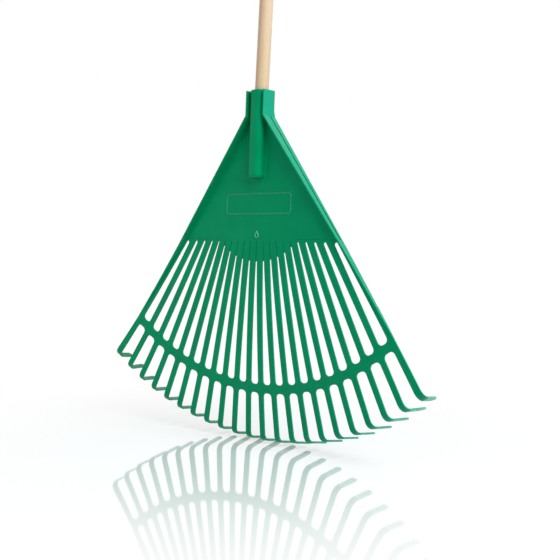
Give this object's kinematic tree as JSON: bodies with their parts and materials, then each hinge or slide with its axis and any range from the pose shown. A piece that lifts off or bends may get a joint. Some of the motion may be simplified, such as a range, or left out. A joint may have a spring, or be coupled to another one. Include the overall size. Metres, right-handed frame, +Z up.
{
  "type": "leaf rake",
  "caption": "Leaf rake with a moulded plastic fan of sprung, hooked tines, a curved cross band and a ribbed socket on a long round wooden handle.",
  "frame": {"origin": "middle of the bounding box's base, level with the lowest hooks, with the rake standing on its tines", "axes": "+X across the fan to the right seen from its front face, +Y from the front face towards the hooks behind it, +Z up along the fan and the handle"},
  "size_m": [0.6186, 0.0794, 1.6401],
  "materials": {
    "green_plastic": "semi-gloss moulded polypropylene",
    "handle_wood": "sanded, clear varnished hardwood",
    "screw_steel": "bright zinc-plated"
  },
  "bodies": {
    "root": {"socket": "green_plastic", "fan_plate": "green_plastic", "cross_band": "green_plastic", "tine_01": "green_plastic", "tine_02": "green_plastic", "tine_03": "green_plastic", "tine_04": "green_plastic", "tine_05": "green_plastic", "tine_06": "green_plastic", "tine_07": "green_plastic", "tine_08": "green_plastic", "tine_09": "green_plastic", "tine_10": "green_plastic", "tine_11": "green_plastic", "tine_12": "green_plastic", "tine_13": "green_plastic", "tine_14": "green_plastic", "tine_15": "green_plastic", "tine_16": "green_plastic", "tine_17": "green_plastic", "tine_18": "green_plastic", "tine_19": "green_plastic", "tine_20": "green_plastic", "tine_21": "green_plastic", "tine_22": "green_plastic", "handle": "handle_wood", "retaining_screw": "screw_steel"}
  },
  "joints": []
}
